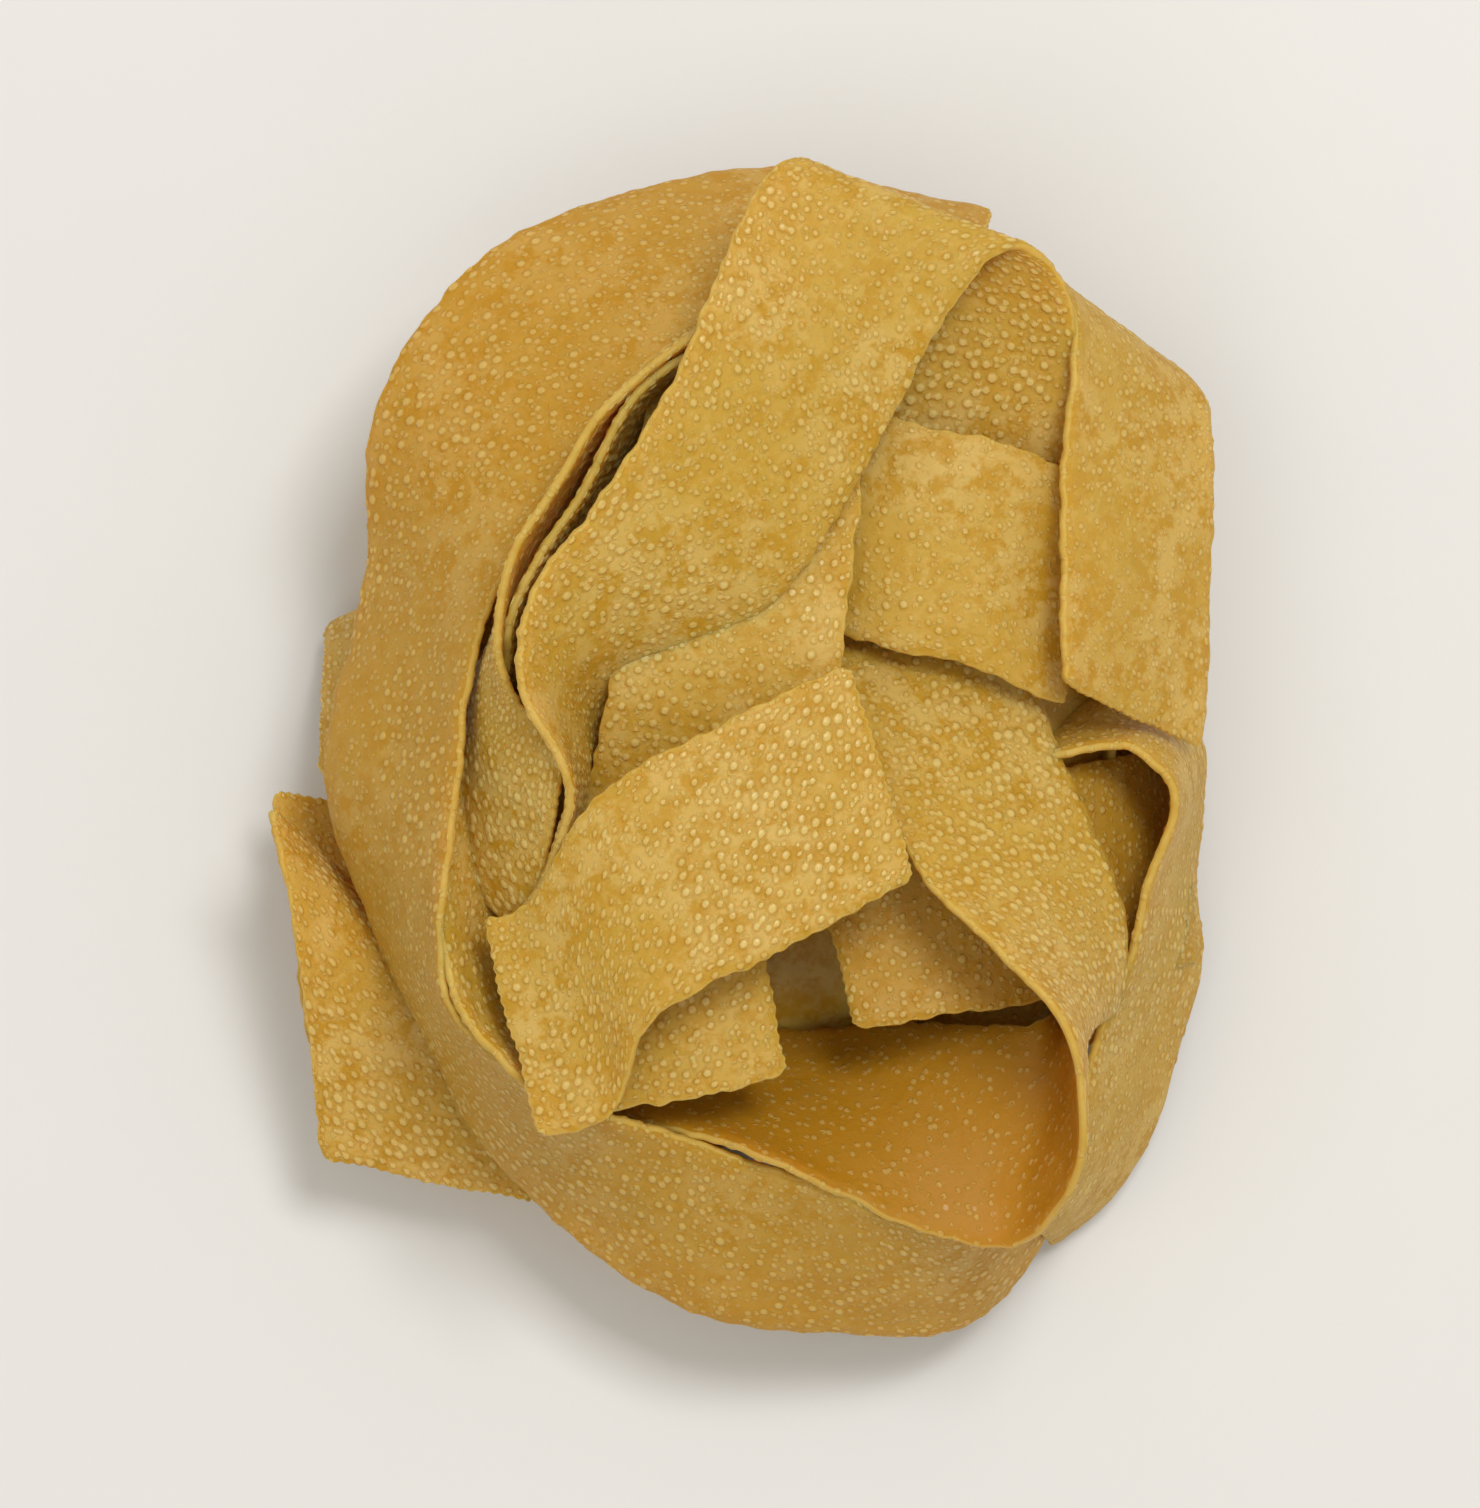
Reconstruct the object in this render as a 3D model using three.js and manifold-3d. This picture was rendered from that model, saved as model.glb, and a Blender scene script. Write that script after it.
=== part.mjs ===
// A dry nest of wide egg pasta: flat ribbons wound loosely into an oval while soft, then dried stiff.
// Millimetres, +Z up. The nest lies on its flatter face, open side up, with +X across it and +Y along it.

import * as THREE from "three";
import { mergeVertices } from "three/addons/utils/BufferGeometryUtils.js";
import Module from "manifold-3d";

const wasm = await Module();
wasm.setup();

// The ribbon, as it is cut before it dries.
const RIBBON_WIDTH = 19;
const RIBBON_THICKNESS = 1.2;

// How a ribbon is split into facets: columns across it, and the length of one facet along it.
const OPEN_FACETS = { columns: 2, step: 4 };
const TUCKED_FACETS = { columns: 1, step: 7 };

// Facets that differ from a plain surface by less than this are merged.
const SMALLEST_STEP = 0.2;
const MERGE_DISTANCE = 1e-4;

// The oval that the ribbons are wound round, seen from above.
const OVAL_MIDDLE = { x: 0.5, y: 2 };

// A route says where a ribbon's middle line runs and how the ribbon is turned there: [x, y, z, across, lift].
// "across" is the heading of its width seen from above, in degrees from +X, and "lift" is how far the far end
// of that width is raised above level, so a ribbon with a lift of 90 or -90 stands on its edge.
const OPEN_ROUTES = {
  // Lies over the top from the upper right, folds at its upper end and turns down on edge at the left.
  crossing: [
    [17.6, 25, 26, -5, 0], [17.7, 38, 29.5, -8, 0], [16.2, 45.6, 34, -15, -4],
    [12.4, 47, 37.2, -23, -8], [8.4, 42, 38.4, -31, -14], [1.6, 28, 38.8, -31, -24],
    [-4.2, 19.4, 39, -27, -28], [-10, 13.2, 38, -20, -38], [-13.2, 7.6, 34.8, -14, -63],
    [-12.8, 0.4, 31.5, 0, -84], [-15.4, -7, 28, -50, -86], [-19.5, -16, 24, -45, -75],
  ],
  // Stands on edge inside the outer sweep and leans over to a cut end at the left.
  inner_edge: [
    [9.2, 45.8, 25.6, 30, -84], [-6.2, 33.5, 30.8, 30, -80], [-14.4, 22.3, 31.7, 30, -77],
    [-19.2, 13, 31.5, 20, -88], [-21.2, 7.4, 31, -140, -72], [-20, 0.3, 32.6, -116, -46],
    [-15.7, -5.2, 35.4, -102, -30],
  ],
  // Stands on edge between the inner edge and the crossing ribbon, a little lower than both.
  inner_lining: [
    [12, 46, 22, 30, -84], [-5.2, 34.2, 27, 30, -80], [-12, 23.8, 27.8, 30, -80],
    [-17.2, 15, 28.2, 20, -84], [-18.4, 8, 25.5, 10, -84],
  ],
  // Runs on beside the inner edge's cut end, under the centre flap.
  left_lining: [
    [-19.6, 4, 22, 0, -60], [-19.4, -3, 24, 4, -58], [-19.2, -10, 25.6, 10, -58],
    [-18, -16, 26, 26, -64], [-14.4, -21.8, 24, 46, -74],
  ],
  // The outside of the nest, from its upper end round the left to the lower right.
  outer_sweep: [
    [20, 44, 21, 75, -62], [4, 46.5, 24, 112, -56], [-12.2, 40.5, 28, 142, -30],
    [-21, 30.4, 29, 160, -22], [-25.4, 17, 27.5, 168, -52], [-28.4, 1, 26.5, 180, -53],
    [-27.2, -11.2, 25, 180, -70], [-24.6, -19, 24.5, 205, -77], [-17, -28.6, 23, 235, -62],
    [-2.4, -36.6, 21, 257, -40], [9, -39.4, 20, 267, -50], [18.6, -40.1, 16, 288, -60],
    [24.6, -34, 14.6, 322, -74],
  ],
  // Dips under the top, rounds the lower right corner on edge and comes back as the floor of the open funnel.
  funnel: [
    [11, 20, 21, 28, -10], [15.4, 9, 28, 23, -28], [21.8, -4.6, 32, 16, -38],
    [26.6, -12.4, 31.5, 13, -56], [28.6, -18.2, 30, 6, -74], [28.1, -21.4, 28, 84, -71],
    [27.2, -25, 26.4, 94, -46], [23.9, -28.3, 24.6, 86, -8], [18.6, -28.3, 23, 82, -14],
    [11, -26.6, 21.5, 76, -36], [1.8, -25, 20.5, 64, -56], [-8.5, -21.5, 18, 66, -50],
    [-15, -17, 14, 80, -20],
  ],
  // A short ribbon end on the very top, curling down at the left.
  centre_flap: [
    [11.6, 1.7, 38, -74, 0], [0.6, -4, 40.4, -73, 0], [-6.6, -7.6, 41, -74, 0],
    [-10.6, -11.2, 39.8, -74, -2], [-12.9, -16.6, 36.6, -71, -4], [-15.6, -18.8, 35.2, -74, -2],
    [-18.8, -19.4, 34.8, -76, 0],
  ],
  // A cut end below the centre flap.
  tucked_end: [
    [2.4, -14, 32, -80, 0], [-4.6, -15.8, 33, -77, 0], [-11.5, -17, 30.5, -78, 0],
    [-18, -17.4, 25, -84, -6], [-22, -17, 19, -88, -10],
  ],
  // A cut end that comes out under the funnel's inner side.
  right_end: [
    [7, -11, 27, -75, 0], [15.6, -9.4, 27.8, -82, 0], [23.4, -8.4, 25.2, -86, 0],
    [29.4, -7, 20.5, -86, 0], [33.4, -6.2, 15, -86, 0], [37.4, -5.2, 8.4, -84, 0],
  ],
  // Runs along the nest just under the crossing ribbon.
  under_crossing: [
    [4, 39, 24, 5, 0], [1.2, 29, 31, 2, 0], [-0.2, 17, 34, 0, 0], [-1.4, 7.5, 34, -6, 0],
    [-3.3, -1, 31.5, -12, 0], [-6, -10, 27, -16, 0],
  ],
  // Comes out from under the top and ends under the shoulder.
  right_band: [
    [1, 25, 27, -98, 0], [13, 20.8, 31, -98, 0], [21.2, 18.8, 30.5, -97, 0],
    [27.6, 15.8, 27.6, -95, -5],
  ],
  // A cut end that leans on the upper right side.
  shoulder: [
    [23, 43, 16, -45, -56], [32.2, 36.6, 22, -27, -48], [32.6, 25.6, 26, -4, -46],
    [32.5, 15.2, 27.2, -6, -47], [32.2, 5.8, 26.6, -25, -46],
  ],
  // Leans round the lower right side, with its rim bent like a hoop.
  right_wall: [
    [19.7, 5, 17, 95, -68], [26.6, 6.4, 18.2, 92, -68], [32, 7, 18, 78, -68],
    [35.2, 5.6, 17.6, 58, -70], [37.4, 2.2, 17, 35, -76], [37.4, -1.8, 16.2, 8, -80],
    [36, -8, 15.4, -2, -74], [35.3, -14.5, 14.4, -5, -68], [33.2, -21, 13.4, -12, -66],
    [31.4, -27.2, 12.4, -26, -67], [28.8, -32.8, 11.4, -44, -72], [25, -37.2, 10.6, -52, -78],
  ],
  // A cut end that curls out of the lower left side.
  left_flap: [
    [-35, -5.9, 12.7, -49, -50], [-29.9, -13.1, 14.6, -25, -25], [-27.2, -21.8, 14, -14, -9],
    [-26.1, -32.9, 10.4, -13, 0],
  ],
  // Lies under the left flap.
  flap_lining: [
    [-30.4, -1.5, 7.5, -10, -14], [-29.4, -8, 8, -12, -12], [-28.4, -15, 8, -13, -8],
    [-27.2, -24, 7, -13, -4],
  ],
  // A cut end that comes out under the outer sweep.
  left_end: [
    [-20, 8.4, 26.5, 84, 0], [-26, 8, 24.6, 82, 0], [-30.4, 7.4, 21.4, 80, -2], [-33.6, 7, 17.4, 76, -6],
  ],
};

/** A ribbon that stands on its edge and runs round the nest, waving in and out and up and down. */
function wallRoute({ start, turn, halfWidth, halfLength, height, wave, lean, sway, phase, stations }) {
  return Array.from({ length: stations }, (_, i) => {
    const angle = THREE.MathUtils.degToRad(start + (turn * i) / (stations - 1));
    const swell = 1 + 0.02 * Math.sin(3 * angle + phase) + 0.015 * Math.sin(5 * angle + 2 * phase);
    const outwards = Math.atan2(Math.sin(angle) / halfLength, Math.cos(angle) / halfWidth);
    return [
      OVAL_MIDDLE.x + halfWidth * swell * Math.cos(angle),
      OVAL_MIDDLE.y + halfLength * swell * Math.sin(angle),
      height + wave * Math.sin(2 * angle + phase),
      THREE.MathUtils.radToDeg(outwards),
      -(lean + sway * Math.sin(3 * angle + phase)),
    ];
  });
}

// How many stations a ribbon of the bottom has, and how much of its half length is level.
const FLOOR_STATIONS = 13;
const LEVEL_SHARE = 0.55;

/** A ribbon that lies across the bottom, level in the middle and rising towards both of its ends. */
function floorRoute({ heading, offset, height, halfLength, rise, bow }) {
  const angle = THREE.MathUtils.degToRad(heading);
  return Array.from({ length: FLOOR_STATIONS }, (_, i) => {
    const along = -1 + (2 * i) / (FLOOR_STATIONS - 1);
    const aside = offset + bow * (along * along - 0.4);
    const climb = Math.max(0, (Math.abs(along) - LEVEL_SHARE) / (1 - LEVEL_SHARE));
    const veer = THREE.MathUtils.radToDeg(Math.atan2(2 * bow * along, halfLength));
    return [
      OVAL_MIDDLE.x + halfLength * along * Math.cos(angle) - aside * Math.sin(angle),
      OVAL_MIDDLE.y + halfLength * along * Math.sin(angle) + aside * Math.cos(angle),
      height + rise * climb * climb,
      heading + 90 + veer,
      0,
    ];
  });
}

// The middle of a ribbon that lies on the table, and the height from one ribbon to the next that crosses it.
const RESTING_HEIGHT = RIBBON_THICKNESS / 2;
const LAYER = RIBBON_THICKNESS + 0.2;

// The ribbons of the sides and the bottom, which run on behind and under the open ones.
const TUCKED_ROUTES = {
  low_wall: wallRoute({
    start: 228, turn: 290, halfWidth: 30.4, halfLength: 37.8, height: 10, wave: 1, lean: -80, sway: 6,
    phase: -0.8, stations: 15,
  }),
  middle_wall: wallRoute({
    start: 20, turn: 250, halfWidth: 26.5, halfLength: 34.5, height: 13, wave: 1.5, lean: -84, sway: 6,
    phase: 2, stations: 15,
  }),
  upper_wall: wallRoute({
    start: -20, turn: 172, halfWidth: 29, halfLength: 40.5, height: 18, wave: 1.5, lean: 62, sway: 8,
    phase: 4, stations: 10,
  }),
  right_lining: wallRoute({
    start: -80, turn: 150, halfWidth: 25.5, halfLength: 34, height: 9.5, wave: 0.8, lean: -25, sway: 4,
    phase: 1, stations: 11,
  }),
  resting_left: floorRoute({
    heading: 82, offset: 12.5, height: RESTING_HEIGHT, halfLength: 36, rise: 12, bow: 2,
  }),
  resting_right: floorRoute({
    heading: 99, offset: -12, height: RESTING_HEIGHT, halfLength: 37, rise: 13, bow: -3,
  }),
  cross_low: floorRoute({
    heading: 12, offset: -21, height: RESTING_HEIGHT + LAYER, halfLength: 27, rise: 9, bow: 3,
  }),
  cross_high: floorRoute({
    heading: -14, offset: 20, height: RESTING_HEIGHT + LAYER, halfLength: 27, rise: 9, bow: -3,
  }),
  cross_middle: floorRoute({
    heading: 35, offset: 1, height: RESTING_HEIGHT + 2 * LAYER, halfLength: 30, rise: 9, bow: 4,
  }),
};

// The ribbons packed inside the nest: a flattened ball, turned by "dip" degrees down towards the funnel.
const CORE = {
  x: -1, y: 6, z: 12.5, halfWidth: 27, halfLength: 35, halfHeight: 11, dip: 8, sides: 16, rings: 7,
};

/** The direction of a ribbon's width at one station of its route. */
function widthDirection(across, lift) {
  const heading = THREE.MathUtils.degToRad(across);
  const climb = THREE.MathUtils.degToRad(lift);
  return new THREE.Vector3(
    Math.cos(heading) * Math.cos(climb), Math.sin(heading) * Math.cos(climb), Math.sin(climb),
  );
}

/** A flat ribbon along its route, as a closed body: two faces split alike, and an edge round them. */
function ribbonGeometry(route, { columns, step }) {
  const middle = new THREE.CatmullRomCurve3(route.map(([x, y, z]) => new THREE.Vector3(x, y, z)));
  const width = new THREE.CatmullRomCurve3(route.map(([, , , across, lift]) => widthDirection(across, lift)));
  for (const curve of [middle, width]) curve.curveType = "catmullrom";
  const steps = Math.max(4, Math.round(middle.getLength() / step));
  const surfacePoint = (along, aside) => {
    const t = middle.getUtoTmapping(THREE.MathUtils.clamp(along, 0, 1));
    const point = middle.getPoint(t).addScaledVector(width.getPoint(t).normalize(), aside * RIBBON_WIDTH);
    return point.setZ(Math.max(point.z, RESTING_HEIGHT));
  };

  const face = new THREE.PlaneGeometry(1, 1, columns, steps);
  const flat = face.getAttribute("position");
  const upper = [];
  const lower = [];
  const NEAR = 0.25 / steps;
  for (let i = 0; i < flat.count; i++) {
    const aside = flat.getX(i);
    const along = 0.5 - flat.getY(i);
    const point = surfacePoint(along, aside);
    const forwards = surfacePoint(along + NEAR, aside).sub(surfacePoint(along - NEAR, aside));
    const sideways = surfacePoint(along, 0.5).sub(surfacePoint(along, -0.5));
    const normal = forwards.cross(sideways).normalize().multiplyScalar(RIBBON_THICKNESS / 2);
    upper.push(...point.clone().add(normal).toArray());
    lower.push(...point.sub(normal).toArray());
  }

  const row = columns + 1;
  const border = [
    ...Array.from({ length: columns }, (_, i) => i),
    ...Array.from({ length: steps }, (_, j) => j * row + columns),
    ...Array.from({ length: columns }, (_, i) => steps * row + columns - i),
    ...Array.from({ length: steps }, (_, j) => (steps - j) * row),
  ];
  const triangles = [...face.index.array];
  for (let i = 0; i < face.index.count; i += 3) {
    const [a, b, c] = face.index.array.slice(i, i + 3);
    triangles.push(flat.count + a, flat.count + c, flat.count + b);
  }
  border.forEach((here, i) => {
    const next = border[(i + 1) % border.length];
    triangles.push(here, next, flat.count + next, here, flat.count + next, flat.count + here);
  });
  return closedGeometry([...upper, ...lower], triangles);
}

/** A geometry from its corner coordinates and the corners of its triangles. */
function closedGeometry(positions, triangles) {
  const geometry = new THREE.BufferGeometry();
  geometry.setAttribute("position", new THREE.Float32BufferAttribute(positions, 3));
  geometry.setIndex(triangles);
  return geometry;
}

/** The solid that a closed geometry bounds. */
function toSolid(geometry) {
  const mesh = new wasm.Mesh({
    numProp: 3,
    vertProperties: new Float32Array(geometry.getAttribute("position").array),
    triVerts: new Uint32Array(geometry.index.array),
  });
  mesh.merge();
  return new wasm.Manifold(mesh);
}

/** The packed ribbons inside the nest. */
function coreGeometry() {
  const ball = new THREE.SphereGeometry(1, CORE.sides, CORE.rings);
  ball.scale(CORE.halfWidth, CORE.halfLength, CORE.halfHeight);
  ball.rotateX(THREE.MathUtils.degToRad(CORE.dip));
  ball.translate(CORE.x, CORE.y, CORE.z);
  ball.deleteAttribute("normal");
  ball.deleteAttribute("uv");
  return mergeVertices(ball, MERGE_DISTANCE);
}

/** All of the ribbons and the core as one body, without the hollows that are sealed inside it. */
function nestGeometry() {
  const pieces = [
    ...Object.values(OPEN_ROUTES).map((route) => ribbonGeometry(route, OPEN_FACETS)),
    ...Object.values(TUCKED_ROUTES).map((route) => ribbonGeometry(route, TUCKED_FACETS)),
    coreGeometry(),
  ];
  const joined = wasm.Manifold.union(pieces.map(toSolid)).simplify(SMALLEST_STEP);
  const shells = joined.decompose();
  const whole = shells.reduce((largest, shell) => (shell.volume() > largest.volume() ? shell : largest));
  const { vertProperties, triVerts } = whole.getMesh();
  return closedGeometry([...vertProperties], [...triVerts]);
}

// The origin is under the middle of the nest, on the table.
const geometry = nestGeometry();
geometry.computeBoundingBox();
const box = geometry.boundingBox;
const middle = box.getCenter(new THREE.Vector3());
geometry.translate(-middle.x, -middle.y, -box.min.z);

const eggPasta = new THREE.MeshStandardMaterial({ color: 0xd9b45a, roughness: 0.62, metalness: 0 });
const nest = new THREE.Mesh(geometry, eggPasta);
nest.name = "pasta_nest";

const part = new THREE.Group();
part.add(nest);

export default part;
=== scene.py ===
"""A dry nest of wide egg pasta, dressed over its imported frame.

Every ribbon is made the way the dough is: rolled flat, cut with ragged rims, blistered on both faces as it dries,
and laid along its route round the nest. Lengths in this file are millimetres until a mesh is laid, and metres after.
"""

from __future__ import annotations

import logging
import math
from dataclasses import dataclass, field
from enum import Enum
from typing import Any, Sequence

import bmesh
import bpy
import numpy as np
from mathutils import Matrix, Vector
from mathutils.kdtree import KDTree

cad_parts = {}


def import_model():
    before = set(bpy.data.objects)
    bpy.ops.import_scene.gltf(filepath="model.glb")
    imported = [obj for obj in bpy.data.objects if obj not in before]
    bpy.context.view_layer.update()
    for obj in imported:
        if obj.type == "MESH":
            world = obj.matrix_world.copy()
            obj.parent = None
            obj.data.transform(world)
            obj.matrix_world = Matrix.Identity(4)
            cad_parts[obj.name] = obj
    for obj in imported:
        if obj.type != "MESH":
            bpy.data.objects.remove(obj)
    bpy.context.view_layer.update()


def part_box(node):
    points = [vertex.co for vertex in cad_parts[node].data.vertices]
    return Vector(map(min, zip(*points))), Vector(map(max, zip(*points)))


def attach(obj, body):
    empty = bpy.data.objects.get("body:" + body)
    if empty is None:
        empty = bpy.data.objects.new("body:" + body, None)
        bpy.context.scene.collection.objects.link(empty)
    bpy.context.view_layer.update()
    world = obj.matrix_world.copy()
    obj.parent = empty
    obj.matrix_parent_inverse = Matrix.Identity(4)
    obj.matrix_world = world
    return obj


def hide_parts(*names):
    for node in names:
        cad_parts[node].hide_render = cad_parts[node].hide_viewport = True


LOG = logging.getLogger("pasta_nest")
MM = 0.001
SNAP = 1e-3  # flat points nearer than this, in millimetres, lie on the same line
SPREAD = 2  # makes up for how much blending a random lattice flattens it
NODE = "pasta_nest"
BODY = "root"

Row = tuple[float, float, float, float, float]
Colour = tuple[float, float, float, float]


@dataclass(frozen=True)
class Cut:
    """The ribbon as it is cut from the sheet of dough, in millimetres.

    Attributes:
        width: Its width.
        thickness: How thick it is away from its rims.
        rim_thickness: How thick its rims are.
        rim_reach: How far in from a rim it is pressed thinner.
        rim_bulge: How far the middle of a rim stands out, which rounds it.
        corner: The radius of its corners.
    """

    width: float = 19.0
    thickness: float = 0.9
    rim_thickness: float = 0.6
    rim_reach: float = 0.9
    rim_bulge: float = 0.1
    corner: float = 0.9


class Fineness(Enum):
    """How finely a ribbon is split: the length of one face of its hidden side in millimetres, and the number of
    faces of its shown side that fit along it."""

    OPEN = (0.5, 2)
    TWISTED = (0.27, 1)
    TUCKED = (0.7, 1)


@dataclass(frozen=True)
class Blisters:
    """The round bubbles that rise on a face as it dries, in millimetres.

    Attributes:
        spacing: The distance between the places where one may rise.
        smallest: The least radius.
        largest: The greatest radius.
        height: How far the largest ones stand out.
        share: How many of the places have one, from 0 to 1.
        pallor: How much paler they are than the dough, from 0 to 1.
        tone: How far the dough between them is darkened to a deeper orange, from 0 to 1: partly its own darker colour,
            partly painted shade.
        scatter: How far one may lie from its place, as a share of the spacing.
        patch: The distance over which they grow more and less crowded.
        usual_growth: How fully they grow where they aren't crowded.
        crowd_growth: How much more they grow in a crowded patch.
        crowd_share: How many more of them there are in a crowded patch.
        least: The height of the very smallest, as a share of the full height.
        roundness: The power that shapes them, which is 0.5 for half a ball and higher for a softer foot.
        moat: How deep the ring round each one sinks, as a share of its height.
        moat_middle: Where that ring lies, in the blister's radii.
        moat_half: Half the ring's width, in the blister's radii.
    """

    spacing: float
    smallest: float
    largest: float
    height: float
    share: float
    pallor: float
    tone: float
    scatter: float = 0.28
    patch: float = 8.0
    usual_growth: float = 0.9
    crowd_growth: float = 0.5
    crowd_share: float = 0.3
    least: float = 0.35
    roundness: float = 0.65
    moat: float = 0.3
    moat_middle: float = 1.2
    moat_half: float = 0.4

    def relief(self, far: np.ndarray, size: np.ndarray) -> np.ndarray:
        """Works out how far the face stands out at points.

        Args:
            far: How far each point is from the middle of its blister, in that blister's radii.
            size: The blister's size, from 0 to 1.

        Returns:
            The heights in millimetres, below 0 in the rings round the blisters.
        """
        dome = np.clip(1 - far**2, 0, 1) ** self.roundness
        ring = np.clip(1 - np.abs(far - self.moat_middle) / self.moat_half, 0, 1)
        return self.height * size * (dome - self.moat * ring)


@dataclass(frozen=True)
class Raggedness:
    """How a ribbon's rims and cut ends depart from straight, in millimetres.

    Attributes:
        reach: How far in from a rim or an end the dough is drawn along.
        rough: The depth of the small notches in a rim.
        rough_wave: The distance over which they change.
        drift: How far a rim wanders.
        drift_wave: The distance over which it does.
        tooth: The depth of the teeth that the cutter leaves in an end.
        tooth_pitch: The distance from tooth to tooth.
        tooth_shift: How far the teeth are shifted about, in radians of their wave.
        tooth_wave: The distance over which that changes.
        notch: The depth of an end's larger notches.
        notch_wave: The distance over which they change.
    """

    reach: float = 2.2
    rough: float = 0.34
    rough_wave: float = 0.7
    drift: float = 0.3
    drift_wave: float = 8.0
    tooth: float = 0.17
    tooth_pitch: float = 1.05
    tooth_shift: float = 3.0
    tooth_wave: float = 2.5
    notch: float = 0.3
    notch_wave: float = 1.6


@dataclass(frozen=True)
class Waviness:
    """How a ribbon waves as it dries, in millimetres.

    Attributes:
        ripple: How far its whole face waves.
        ripple_wave: The distance over which it does.
        crinkle: How far it crinkles.
        crinkle_wave: The distance over which it does.
        frill: How far its rims wave besides.
        frill_wave: The distance over which they do.
        frill_reach: How far in from a rim that is felt.
    """

    ripple: float = 0.3
    ripple_wave: float = 8.0
    crinkle: float = 0.09
    crinkle_wave: float = 2.4
    frill: float = 0.18
    frill_wave: float = 5.0
    frill_reach: float = 3.5


class Skin(Enum):
    """How strongly a face of a ribbon is blistered, and how far its colour is darkened by painted shade and, on a
    smooth face, by its own darker colour.
    """

    FULL = Blisters(spacing=1.06, smallest=0.24, largest=0.58, height=0.13, share=0.94, pallor=1.0, tone=0.0)
    FINE = Blisters(spacing=1.15, smallest=0.2, largest=0.48, height=0.11, share=0.82, pallor=0.8, tone=0.0)
    # Fine blisters, with painted shade darkening the dough between them.
    FINE_SHADED = Blisters(spacing=1.15, smallest=0.2, largest=0.48, height=0.11, share=0.82, pallor=0.75, tone=0.4)
    # Few blisters on a smooth face, darkened partly by its own colour and partly by painted shade.
    DEEP = Blisters(spacing=1.8, smallest=0.2, largest=0.4, height=0.04, share=0.4, pallor=0.15, tone=0.9)


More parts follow.
